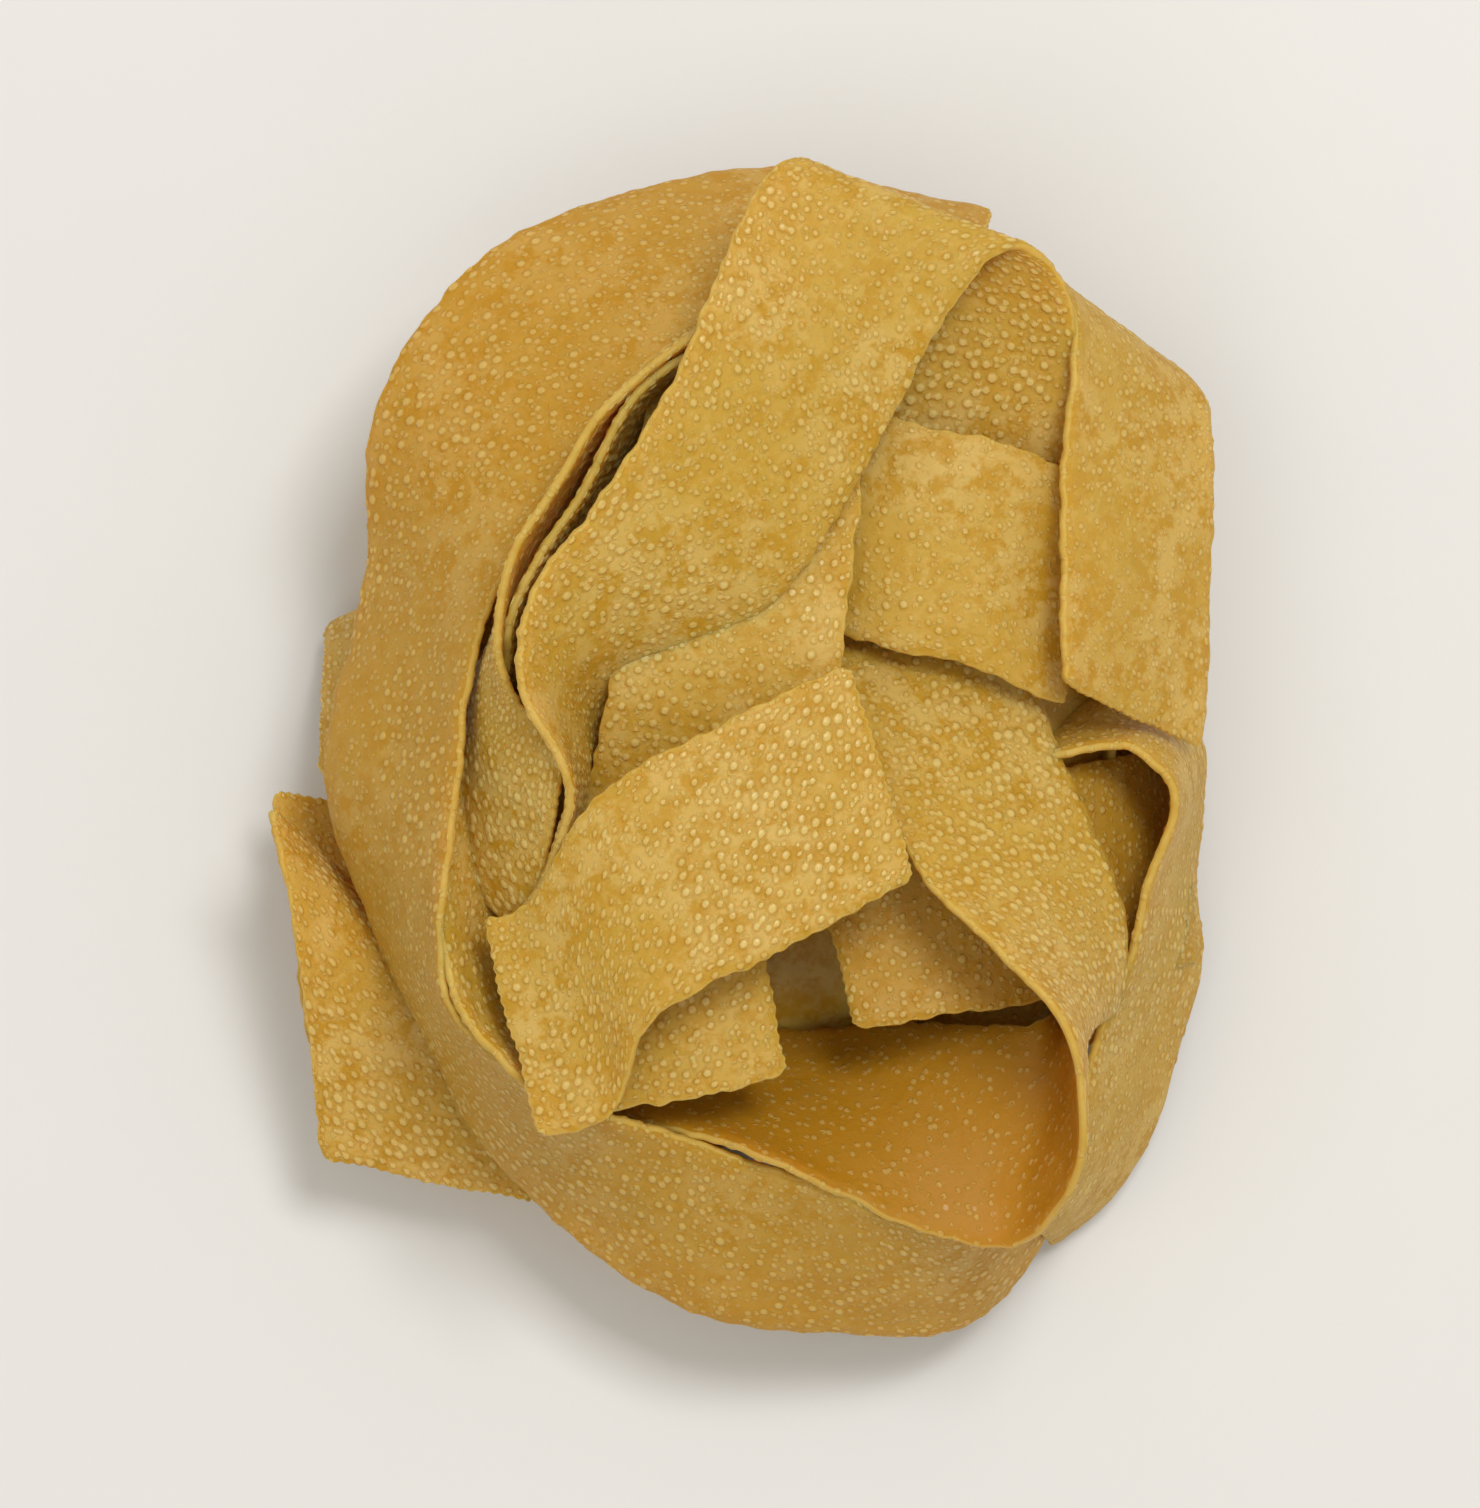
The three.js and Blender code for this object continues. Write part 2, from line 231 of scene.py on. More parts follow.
# The rows of a route: where the ribbon's middle runs (x, y, z), the heading of its width seen from above in
# degrees from +X, and by how many degrees the far end of that width is raised above level.
OPEN_ROUTES: dict[str, list[Row]] = {
    "crossing": [
        (18, 25, 26, -5, 0), (18.5, 38, 29.5, -8, 0), (16.2, 45.6, 34, -15, -4), (12.4, 47, 37.2, -23, -8),
        (8.4, 42, 38.4, -31, -14), (1.6, 28, 38.8, -31, -24), (-4.2, 19.4, 39, -27, -28), (-10, 13.2, 38, -20, -38),
        (-13.2, 7.6, 34.8, -14, -63), (-12.8, 0.4, 31.5, 0, -84), (-15.4, -7, 28, -50, -86),
        (-18.4, -13.8, 25, -45, -76),
    ],
    "inner_edge": [
        (8.7, 46.3, 25.6, 30, -84), (-6.8, 34.1, 30.8, 30, -80), (-14.9, 22.7, 31.7, 30, -77),
        (-19.2, 13, 31.5, 20, -88), (-21.2, 7.4, 31, -140, -72), (-20, 0.3, 32.6, -116, -46),
        (-15.7, -5.2, 35.4, -102, -30),
    ],
    "inner_lining": [
        (9, 40.5, 24, 30, -84), (-5.2, 34.2, 29.5, 30, -80), (-12.2, 23.8, 30.3, 30, -80), (-17.4, 15, 30.7, 20, -84),
        (-18.4, 8, 28, 10, -84),
    ],
    "left_lining": [
        (-19.6, 4, 22, 0, -60), (-19.6, -3, 24, 4, -58), (-19.7, -10.4, 25.6, 10, -58), (-18.8, -16.8, 26, 26, -64),
        (-15.3, -22.8, 24.2, 46, -74),
    ],
    "outer_sweep": [
        (20, 44, 21, 75, -62), (4, 46.5, 24, 112, -56), (-12.2, 40.5, 28, 142, -30), (-21, 30.4, 29, 160, -22),
        (-25.4, 17, 27.5, 168, -52), (-28.4, 1, 26.5, 180, -53), (-27.2, -11.2, 25, 180, -70),
        (-24.6, -19, 24.5, 205, -77), (-17, -28.6, 23, 235, -62), (-2.4, -36.6, 21, 257, -40), (9, -39.4, 20, 267, -50),
        (18.6, -40.1, 16, 288, -60), (24.6, -34, 14.6, 322, -74),
    ],
    "funnel": [
        (11, 20, 21, 28, -10), (15.4, 9, 28, 23, -28), (21.8, -4.6, 32, 16, -38), (26.6, -12.4, 31.5, 13, -56),
        (28.6, -18.2, 30, 6, -74), (28.1, -21.4, 28, 84, -71), (27.2, -25, 26.4, 94, -46), (23.9, -28.3, 24.6, 86, -8),
        (18.6, -28.3, 23, 82, -14), (11, -26.6, 21.5, 76, -36), (1.8, -25, 20.5, 64, -56), (-8.5, -21.5, 18, 66, -50),
        (-15, -17, 14, 80, -20),
    ],
    "centre_flap": [
        (11.6, 1.7, 38, -74, 0), (0.6, -4, 40.4, -73, 0), (-6.6, -7.6, 41, -74, 0), (-10.6, -11.2, 39.8, -74, -2),
        (-12.9, -16.6, 36.6, -71, -4), (-15.6, -18.8, 35.2, -74, -2), (-18.8, -19.4, 34.8, -76, 0),
    ],
    "tucked_end": [
        (2.4, -14, 32, -80, 0), (-4.6, -15.8, 33, -77, 0), (-11.5, -17, 30.5, -78, 0), (-17.4, -17.4, 25, -84, -6),
        (-20.2, -17.4, 19, -88, -10),
    ],
    "right_end": [
        (7, -11, 27, -75, 0), (15.6, -9.4, 27.8, -82, 0), (23.4, -8.4, 25.2, -86, 0), (29.4, -7, 20.8, -86, 0),
        (33.4, -6.2, 15.9, -86, 0), (37.4, -5.2, 8.6, -84, 0),
    ],
    "under_crossing": [
        (4, 39, 24, 5, 0), (1.2, 29, 31, 2, 0), (-0.2, 17, 34, 0, 0), (-1.4, 7.5, 34, -6, 0),
        (-3.3, -1, 31.5, -12, 0), (-6, -10, 27, -16, 0),
    ],
    "right_band": [
        (1, 25, 27, -98, 0), (13, 20.8, 31, -98, 0), (21.2, 18.8, 30.5, -97, 0), (27.6, 15.8, 27.6, -95, -5),
    ],
    "shoulder": [
        (23, 43, 16, -45, -56), (32.2, 36.6, 22, -27, -48), (32.6, 25.6, 26, -4, -46), (32.5, 15.2, 27.2, -6, -47),
        (32.2, 5.8, 26.6, -25, -46),
    ],
    "right_wall": [
        (19.7, 5, 17, 95, -68), (26.6, 6.4, 18.2, 92, -68), (32, 7, 18, 78, -68), (35.2, 5.6, 17.6, 58, -70),
        (37.4, 2.2, 17, 35, -76), (37.4, -1.8, 16.2, 8, -80), (36, -8, 15.4, -2, -74), (35.3, -14.5, 14.4, -5, -68),
        (33.2, -21, 13.4, -12, -66), (31.4, -27.2, 12.4, -26, -67), (28.8, -32.8, 11.4, -44, -72),
        (25, -37.2, 10.6, -52, -78),
    ],
    "left_flap": [
        (-35, -5.9, 12.7, -49, -50), (-29.9, -13.1, 14.6, -25, -25), (-27.2, -21.8, 14, -14, -9),
        (-26.1, -32.9, 10.4, -13, 0),
    ],
    "flap_lining": [
        (-30.4, -1.5, 7.5, -10, -14), (-29.4, -8, 8, -12, -12), (-28.4, -15, 8, -13, -8), (-27.2, -24, 7, -13, -4),
    ],
    "left_end": [
        (-20, 8.4, 24, 84, 0), (-26, 8, 20.5, 84, -14), (-31, 7.8, 14.5, 86, -34), (-35, 7.6, 10, 88, -50),
    ],
}


@dataclass(frozen=True)
class Oval:
    """The loop that the ribbons are wound round, in millimetres.

    Attributes:
        x: The loop's middle.
        y: The same, along the nest.
        box_x: The middle of the nest's box, where the frame has its origin.
        box_y: The same, along the nest.
    """

    x: float = 0.5
    y: float = 2.0
    box_x: float = 0.04
    box_y: float = 2.9


@dataclass(frozen=True)
class Wall:
    """A ribbon on edge that runs round the nest, waving in and out and up and down.

    Attributes:
        start: Where it starts round the loop, in degrees from +X.
        turn: How far round it goes, in degrees.
        half_width: Half the width of the loop it follows, in millimetres.
        half_length: Half that loop's length.
        height: How high its middle line runs.
        wave: How far that line waves up and down.
        lean: How far the outer side of its width hangs below level, in degrees, or stands above it where this
            is below 0.
        sway: How far the lean changes along it, in degrees.
        phase: Where its waves begin, in radians.
        stations: How many rows its route has.
        three_lobes: How far the loop swells in three places, as a share of its size.
        five_lobes: How far it swells in five places.
    """

    start: float
    turn: float
    half_width: float
    half_length: float
    height: float
    wave: float
    lean: float
    sway: float
    phase: float
    stations: int
    three_lobes: float = 0.02
    five_lobes: float = 0.015

    def rows(self, oval: Oval) -> list[Row]:
        """Works out the stations of the wall's route.

        Args:
            oval: The loop that the wall runs round.

        Returns:
            One row for each station.
        """
        rows: list[Row] = []
        for i in range(self.stations):
            angle = math.radians(self.start + self.turn * i / (self.stations - 1))
            swell = 1 + self.three_lobes * math.sin(3 * angle + self.phase)
            swell += self.five_lobes * math.sin(5 * angle + 2 * self.phase)
            outwards = math.atan2(math.sin(angle) / self.half_length, math.cos(angle) / self.half_width)
            rows.append((
                oval.x + self.half_width * swell * math.cos(angle),
                oval.y + self.half_length * swell * math.sin(angle),
                self.height + self.wave * math.sin(2 * angle + self.phase),
                math.degrees(outwards),
                -(self.lean + self.sway * math.sin(3 * angle + self.phase)),
            ))
        return rows


@dataclass(frozen=True)
class FloorBand:
    """A ribbon that lies across the bottom, level in the middle and rising towards both of its ends.

    Attributes:
        heading: Where it runs, in degrees from +X.
        offset: How far it lies beside the loop's middle, in millimetres.
        height: How high its level part lies.
        half_length: Half its length.
        rise: How far its ends rise.
        bow: How far it bends sideways.
        stations: How many rows its route has.
        level_share: How much of it is level.
        bow_balance: Where the bow crosses the offset, as the square of the share of the half length.
    """

    heading: float
    offset: float
    height: float
    half_length: float
    rise: float
    bow: float
    stations: int = 13
    level_share: float = 0.55
    bow_balance: float = 0.4

    def rows(self, oval: Oval) -> list[Row]:
        """Works out the stations of the band's route.

        Args:
            oval: The loop that the band lies inside.

        Returns:
            One row for each station.
        """
        angle = math.radians(self.heading)
        rows: list[Row] = []
        for i in range(self.stations):
            along = -1 + 2 * i / (self.stations - 1)
            aside = self.offset + self.bow * (along * along - self.bow_balance)
            climb = max(0.0, (abs(along) - self.level_share) / (1 - self.level_share))
            veer = math.degrees(math.atan2(2 * self.bow * along, self.half_length))
            rows.append((
                oval.x + self.half_length * along * math.cos(angle) - aside * math.sin(angle),
                oval.y + self.half_length * along * math.sin(angle) + aside * math.cos(angle),
                self.height + self.rise * climb * climb,
                self.heading + 90 + veer,
                0,
            ))
        return rows


RESTING = Cut.thickness / 2  # the height of the middle of a ribbon that lies on the floor
LAYER = 1.4  # how much higher the next one lies
# A wall's start, turn, half width, half length, height, wave, lean, sway, phase and stations, and a floor band's
# heading, offset, height, half length, rise and bow.
TUCKED_FORMS: dict[str, Wall | FloorBand] = {
    "low_wall": Wall(228, 290, 30.4, 36.8, 9.6, 1, -80, 6, -0.8, 15),
    "middle_wall": Wall(20, 250, 26.5, 34.5, 13, 1.5, -84, 6, 2, 15),
    "upper_wall": Wall(-20, 172, 29, 40.5, 18, 1.5, 62, 8, 4, 10),
    "right_lining": Wall(-80, 150, 25.2, 34, 9, 0.8, -25, 4, 1, 11),
    "resting_left": FloorBand(82, 12.5, RESTING, 35, 8, 2),
    "resting_right": FloorBand(99, -12, RESTING, 37, 13, -3),
    "cross_low": FloorBand(12, -21, RESTING + LAYER, 27, 9, 3),
    "cross_high": FloorBand(-14, 20, RESTING + LAYER, 27, 9, -3),
    "cross_middle": FloorBand(35, 1, RESTING + 2 * LAYER, 30, 9, 4),
}
TWISTED = ("funnel", "crossing")  # the open ribbons that need finer faces to turn on edge smoothly
# The skins of the shown and of the hidden side, where they aren't both full of blisters.
# The shown faces of outer_sweep and right_end carry painted shade, and the funnel's shown face is darkened partly by
# painted shade.
SKINS: dict[str, tuple[Skin, Skin]] = {
    "outer_sweep": (Skin.FINE_SHADED, Skin.FINE),
    "funnel": (Skin.DEEP, Skin.FULL),
    "right_band": (Skin.FINE, Skin.FINE),
    "shoulder": (Skin.FINE, Skin.FINE),
    "right_wall": (Skin.FINE, Skin.FINE),
    "right_end": (Skin.FINE_SHADED, Skin.FINE),
    "under_crossing": (Skin.FINE, Skin.FINE),
}


class Route:
    """The smooth line that a ribbon's middle follows, and the way the ribbon is turned along it."""

    SAMPLES_PER_ROW = 200
    NUDGE = 0.05  # the stride, in millimetres, over which directions are measured
    LAST = 1e-9  # how far short of the last knot the curve is read

    def __init__(self, rows: Sequence[Row], resting: float) -> None:
        """Sets the route out.

        Args:
            rows: The stations that the route passes through.
            resting: The lowest that the ribbon's middle sheet may lie.
        """
        table = np.array(rows, float)
        across, lift = np.radians(table[:, 3]), np.radians(table[:, 4])
        self._points = table[:, :3]
        self._widths = np.stack(
            [np.cos(across) * np.cos(lift), np.sin(across) * np.cos(lift), np.sin(lift)], axis=1
        )
        self._resting = resting
        self._times = np.linspace(0, len(rows) - 1, self.SAMPLES_PER_ROW * len(rows))
        strides = np.diff(self._curve(self._points, self._times), axis=0)
        self._reached = np.concatenate([[0.0], np.cumsum(np.linalg.norm(strides, axis=1))])
        self.length = float(self._reached[-1])

    @staticmethod
    def _curve(knots: np.ndarray, times: np.ndarray) -> np.ndarray:
        """Evaluates the smooth curve through the knots.

        Args:
            knots: One row for each knot.
            times: Where to evaluate it, as knot numbers.

        Returns:
            One row for each time.
        """
        padded = np.vstack([2 * knots[0] - knots[1], knots, 2 * knots[-1] - knots[-2]])
        times = np.clip(times, 0, len(knots) - 1 - Route.LAST)
        span = times.astype(int)
        part = (times - span)[:, None]
        before, start, end, after = (padded[span + i] for i in range(4))
        leave, arrive = (end - before) / 2, (after - start) / 2
        cubic = 2 * start - 2 * end + leave + arrive
        square = -3 * start + 3 * end - 2 * leave - arrive
        return cubic * part**3 + square * part**2 + leave * part + start

    def _sheet(self, along: np.ndarray, aside: np.ndarray) -> tuple[np.ndarray, np.ndarray]:
        """Finds points on the ribbon's middle sheet.

        Args:
            along: How far along the ribbon each point is.
            aside: How far it is from the middle line.

        Returns:
            The points, and the direction of the ribbon's width at each.
        """
        times = np.interp(along, self._reached, self._times)
        widths = self._curve(self._widths, times)
        widths /= np.linalg.norm(widths, axis=1, keepdims=True)
        points = self._curve(self._points, times) + aside[:, None] * widths
        points[:, 2] = np.maximum(points[:, 2], self._resting)
        return points, widths

    def _onwards(self, along: np.ndarray, aside: np.ndarray) -> np.ndarray:
        """Finds the directions in which the sheet goes on.

        Args:
            along: How far along the ribbon each point is.
            aside: How far it is from the middle line.

        Returns:
            One unit vector for each point.
        """
        inside = np.clip(along, self.NUDGE, self.length - self.NUDGE)
        ahead, _ = self._sheet(inside + self.NUDGE, aside)
        behind, _ = self._sheet(inside - self.NUDGE, aside)
        return (ahead - behind) / np.linalg.norm(ahead - behind, axis=1, keepdims=True)

    @staticmethod
    def _facing(onwards: np.ndarray, widths: np.ndarray) -> np.ndarray:
        """Finds the directions that the sheet's first side faces."""
        normals = np.cross(onwards, widths)
        return normals / np.linalg.norm(normals, axis=1, keepdims=True)

    def shown_side(self) -> int:
        """Tells which side of the sheet faces up on the whole.

        Returns:
            1 for its first side and -1 for the other.
        """
        margin = 2 * self.NUDGE
        along = np.linspace(margin, self.length - margin, self.SAMPLES_PER_ROW)
        aside = np.zeros_like(along)
        _, widths = self._sheet(along, aside)
        return 1 if self._facing(self._onwards(along, aside), widths)[:, 2].sum() >= 0 else -1

    def lay(self, along: np.ndarray, aside: np.ndarray, above: np.ndarray) -> np.ndarray:
        """Bends flat points round the route, and straight on beyond its ends.

        Args:
            along: How far along the ribbon each point is.
            aside: How far it is from the ribbon's middle line.
            above: How far it is above the ribbon's middle sheet.

        Returns:
            The points in the row frame.
        """
        points, widths = self._sheet(along, aside)
        onwards = self._onwards(along, aside)
        beyond = along - np.clip(along, 0, self.length)
        return points + beyond[:, None] * onwards + above[:, None] * self._facing(onwards, widths)


def smooth_step(low: float, high: float, values: np.ndarray) -> np.ndarray:
    """Rises smoothly from 0 where values are low to 1 where they are high."""
    part = np.clip((values - low) / (high - low), 0, 1)
    return part * part * (3 - 2 * part)


def unevenness(rng: np.random.Generator, along: np.ndarray, aside: np.ndarray, wavelength: float) -> np.ndarray:
    """Makes smooth random unevenness over a flat sheet.

    Args:
        rng: The source of its random numbers.
        along: First coordinates of the points.
        aside: Second coordinates of the points.
        wavelength: The distance over which it changes.

    Returns:
        Values between about -1 and 1.
    """
    cells = [(values - values.min()) / wavelength for values in (along, aside)]
    lattice = rng.uniform(-1, 1, [int(values.max()) + 4 for values in cells])
    corners = [values.astype(int) for values in cells]
    weights = []
    for values, corner in zip(cells, corners):
        part = values - corner
        weights.append([
            (1 - part) ** 3 / 6,
            (3 * part**3 - 6 * part**2 + 4) / 6,
            (-3 * part**3 + 3 * part**2 + 3 * part + 1) / 6,
            part**3 / 6,
        ])
    total = np.zeros_like(along)
    for i, row_weight in enumerate(weights[0]):
        for j, column_weight in enumerate(weights[1]):
            total += row_weight * column_weight * lattice[corners[0] + i, corners[1] + j]
    return total * SPREAD


class Face:
    """One face of a flat ribbon, with its blisters."""

    SAMPLE = 0.125  # the distance, in millimetres, between the points where the face is worked out
    REACH = 1.8  # how far round a blister it is, in the blister's radii
    CROWDED = 0.52  # the greatest radius, as a share of the distance to the nearest neighbour
    GROWTH = (1.8, 2.0)  # the beta distribution that their sizes follow
    SHORT = 1.001  # how many samples short of its far edge the face is read

    def __init__(self, rng: np.random.Generator, length: float, width: float, blisters: Blisters) -> None:
        """Raises the blisters.

        Args:
            rng: The source of its random numbers.
            length: The face's length.
            width: The face's width.
            blisters: How the face is blistered.
        """
        self._width = width
        shape = int(length / self.SAMPLE) + 3, int(width / self.SAMPLE) + 3
        self._far = np.full(shape, self.REACH)
        self._sizes = np.zeros(shape)
        rows, columns = int(length / blisters.spacing) + 1, int(width / blisters.spacing) + 1
        i, j = (part.ravel() for part in np.meshgrid(np.arange(rows), np.arange(columns), indexing="ij"))
        scatter = blisters.scatter * blisters.spacing
        along = (i + 0.5) * blisters.spacing + rng.uniform(-scatter, scatter, i.size)
        aside = (j + 0.5 * (i % 2)) * blisters.spacing + rng.uniform(-scatter, scatter, i.size)
        crowd = unevenness(rng, along, aside, blisters.patch)
        grown = rng.beta(*self.GROWTH, i.size) * (blisters.usual_growth + blisters.crowd_growth * crowd)
        grown = np.clip(grown, 0, 1)
        radii = blisters.smallest + (blisters.largest - blisters.smallest) * grown
        keep = rng.uniform(0, 1, i.size) < blisters.share + blisters.crowd_share * crowd
        places = np.stack([along, aside, np.zeros(i.size)], axis=1)[keep]
        tree = KDTree(len(places))
        for number, place in enumerate(places):
            tree.insert(place, number)
        tree.balance()
        for place, radius in zip(places, radii[keep]):
            room = tree.find_n(place, 2)[-1][2]
            radius = min(radius, self.CROWDED * room)
            self._raise(place[0], place[1], radius, radius / blisters.largest)

    def _raise(self, along: float, aside: float, radius: float, size: float) -> None:
        """Raises one blister.

        Args:
            along: Where its middle is along the face.
            aside: Where its middle is across the face, from one rim.
            radius: Its radius.
            size: Its size, from 0 to 1.
        """
        reach = radius * self.REACH
        window = []
        for centre, most in zip((along, aside), self._far.shape):
            low, high = int((centre - reach) / self.SAMPLE), int((centre + reach) / self.SAMPLE) + 2
            window.append(slice(max(0, low), max(0, min(most, high))))
        if any(part.start >= part.stop for part in window):
            return
        s, u = np.ogrid[window[0], window[1]]
        far = np.sqrt((s * self.SAMPLE - along) ** 2 + (u * self.SAMPLE - aside) ** 2) / radius
        known, sizes = self._far[window[0], window[1]], self._sizes[window[0], window[1]]
        nearer = far < known
        known[nearer] = far[nearer]
        sizes[nearer] = size

    def read(self, along: np.ndarray, aside: np.ndarray) -> tuple[np.ndarray, np.ndarray]:
        """Reads the face at points.

        Args:
            along: How far along the ribbon each point is.
            aside: How far it is from the middle line.

        Returns:
            How far each point is from the middle of its blister, in that blister's radii, and the blister's size
            from 0 to 1.
        """
        places = [along / self.SAMPLE, (aside + self._width / 2) / self.SAMPLE]
        places = [np.clip(place, 0, most - self.SHORT) for place, most in zip(places, self._far.shape)]
        (i, j), (right, up) = ([part.astype(int) for part in places], [part % 1 for part in places])
        lower = (1 - right) * self._far[i, j] + right * self._far[i + 1, j]
        upper = (1 - right) * self._far[i, j + 1] + right * self._far[i + 1, j + 1]
        return (1 - up) * lower + up * upper, self._sizes[i, j]


@dataclass
class Ribbon:
    """One ribbon of dough, from rolling to drying.

    Attributes:
        name: The piece's name.
        rows: The stations of its route.
        fineness: How finely its mesh is split.
        skins: How its shown and its hidden side are blistered.
        seed: Makes its random details its own, and the same each time.
        cut: The size that it is cut to.
        raggedness: How its rims and ends depart from straight.
        waviness: How it waves.
        oval: Where the middle of the nest's box is.
    """

    name: str
    rows: Sequence[Row]
    fineness: Fineness
    skins: tuple[Skin, Skin]
    seed: int
    cut: Cut = field(default_factory=Cut)
    raggedness: Raggedness = field(default_factory=Raggedness)
    waviness: Waviness = field(default_factory=Waviness)
    oval: Oval = field(default_factory=Oval)

    def __post_init__(self) -> None:
        """Sets out the route."""
        self._route = Route(self.rows, self.cut.thickness / 2)
        self._shown = self._route.shown_side()
        self._rng = np.random.default_rng(self.seed)

    def _rolled(self) -> bmesh.types.BMesh:
        """Rolls the ribbon out flat.

        Returns:
            Its closed mesh, with its length along X and its width along Y.
        """
        length, width = self._route.length, self.cut.width
        pitch, finer = self.fineness.value
        mesh = bmesh.new()
        for side, times in ((self._shown, finer), (-self._shown, 1)):
            placing = Matrix.Translation((length / 2, 0, side * self.cut.thickness / 2))
            bmesh.ops.create_grid(
                mesh, x_segments=times * round(length / pitch), y_segments=times * round(width / pitch),
                size=0.5, matrix=placing @ Matrix.Diagonal((length, width, 1, 1)),
            )
        sheets = set(mesh.edges)
        bmesh.ops.bridge_loops(mesh, edges=[edge for edge in mesh.edges if edge.is_boundary])
        uprights = [edge for edge in mesh.edges if edge not in sheets]
        split = bmesh.ops.subdivide_edges(mesh, edges=uprights, cuts=1)
        for vert in {item for item in split["geom_inner"] if isinstance(item, bmesh.types.BMVert)}:
            if min(vert.co.x, length - vert.co.x) < SNAP:
                vert.co.x += math.copysign(self.cut.rim_bulge, vert.co.x - length / 2)
            if width / 2 - abs(vert.co.y) < SNAP:
                vert.co.y += math.copysign(self.cut.rim_bulge, vert.co.y)
        bmesh.ops.recalc_face_normals(mesh, faces=mesh.faces[:])
        return mesh

    def _ragged(self, along: np.ndarray, aside: np.ndarray) -> tuple[np.ndarray, np.ndarray]:
        """Rounds the ribbon's corners and makes its rims and its cut ends ragged.

        Args:
            along: How far along the flat ribbon each point is.
            aside: How far it is from the middle line.

        Returns:
            The moved coordinates.
        """
        length, half = self._route.length, self.cut.width / 2
        from_end = np.minimum(along, length - along)
        from_rim = half - np.abs(aside)
        into = self.cut.corner - np.stack([from_end, from_rim], axis=1)
        inside = (into > 0).all(axis=1)
        shrink = np.ones(len(along))
        shrink[inside] = into[inside].max(axis=1) / np.linalg.norm(into[inside], axis=1)
        end_shift = np.where(inside, into[:, 0] * (1 - shrink), 0)
        rim_shift = np.where(inside, into[:, 1] * (1 - shrink), 0)

        ragged = self.raggedness
        side = np.sign(aside)
        end = np.where(along < length / 2, -1.0, 1.0)
        rough = 0.5 + 0.5 * unevenness(self._rng, along, side, ragged.rough_wave)
        drift = 0.5 + 0.5 * unevenness(self._rng, along, side, ragged.drift_wave)
        shifted = ragged.tooth_shift * unevenness(self._rng, aside, end, ragged.tooth_wave)
        teeth = 0.5 + 0.5 * np.cos(2 * math.pi * aside / ragged.tooth_pitch + shifted)
        notch = 0.5 + 0.5 * unevenness(self._rng, aside, end, ragged.notch_wave)
        near_rim, near_end = (1 - smooth_step(0, ragged.reach, inwards) for inwards in (from_rim, from_end))
        rim_shift += near_rim * (ragged.rough * rough + ragged.drift * drift)
        end_shift += near_end * (ragged.tooth * teeth + ragged.notch * notch)
        return along - end * end_shift, aside - side * rim_shift

    def _waving(self, along: np.ndarray, aside: np.ndarray) -> np.ndarray:
        """Works out how far the ribbon waves up and down.

        Args:
            along: How far along the flat ribbon each point is.
            aside: How far it is from the middle line.

        Returns:
            One height for each point.
        """
        wavy = self.waviness
        swell = wavy.ripple * unevenness(self._rng, along, aside, wavy.ripple_wave)
        swell += wavy.crinkle * unevenness(self._rng, along, aside, wavy.crinkle_wave)
        near_rim = 1 - smooth_step(0, wavy.frill_reach, self.cut.width / 2 - np.abs(aside))
        return swell + wavy.frill * near_rim * unevenness(self._rng, along, np.sign(aside), wavy.frill_wave)

    def build(self) -> bpy.types.Object:
        """Makes the ribbon's piece.

        Returns:
            The finished piece, with its place in its mesh.
        """
        flat = self._rolled()
        grain = flat.loops.layers.uv.new("grain")
        for face in flat.faces:
            face.smooth = True
            for loop in face.loops:
                loop[grain].uv = loop.vert.co.xy * MM
        mesh = bpy.data.meshes.new(self.name)
        flat.to_mesh(mesh)
        flat.free()

        points = np.empty(3 * len(mesh.vertices))
        mesh.vertices.foreach_get("co", points)
        along, aside, above = points.reshape(-1, 3).T.copy()
        length, half = self._route.length, self.cut.width / 2
        from_rim = np.minimum(half - np.abs(aside), np.minimum(along, length - along))
        rim = 1 - smooth_step(0, self.cut.rim_reach, from_rim)
        far, pallor, proud, tone = (np.full_like(along, start) for start in (Face.REACH, 0, 0, 0))
        for side, skin in zip((self._shown, -self._shown), self.skins):
            there = above * side > SNAP
            blisters = skin.value
            face = Face(self._rng, length, self.cut.width, blisters)
            far[there], size = face.read(along[there], aside[there])
            size = blisters.least + (1 - blisters.least) * size
            proud[there] = blisters.relief(far[there], size)
            pallor[there] = blisters.pallor * size
            # How far painted shade, and a smooth face's own darker colour, darken this face.
            tone[there] = blisters.tone
        thin = 1 - (1 - self.cut.rim_thickness / self.cut.thickness) * rim
        above = above * thin + np.sign(above) * proud + self._waving(along, aside)
        along, aside = self._ragged(along, aside)

        laid = self._route.lay(along, aside, above)
        laid -= (self.oval.box_x, self.oval.box_y, 0)
        low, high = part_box(NODE)
        mesh.vertices.foreach_set("co", np.clip(laid * MM, low, high).ravel())
        for name, values in (("far", far), ("pallor", pallor), ("rim", rim), ("tone", tone)):
            layer = mesh.attributes.new(name, "FLOAT", "POINT")
            layer.data.foreach_set("value", values)
        mesh.update()
        piece = bpy.data.objects.new(self.name, mesh)
        bpy.context.collection.objects.link(piece)
        return piece


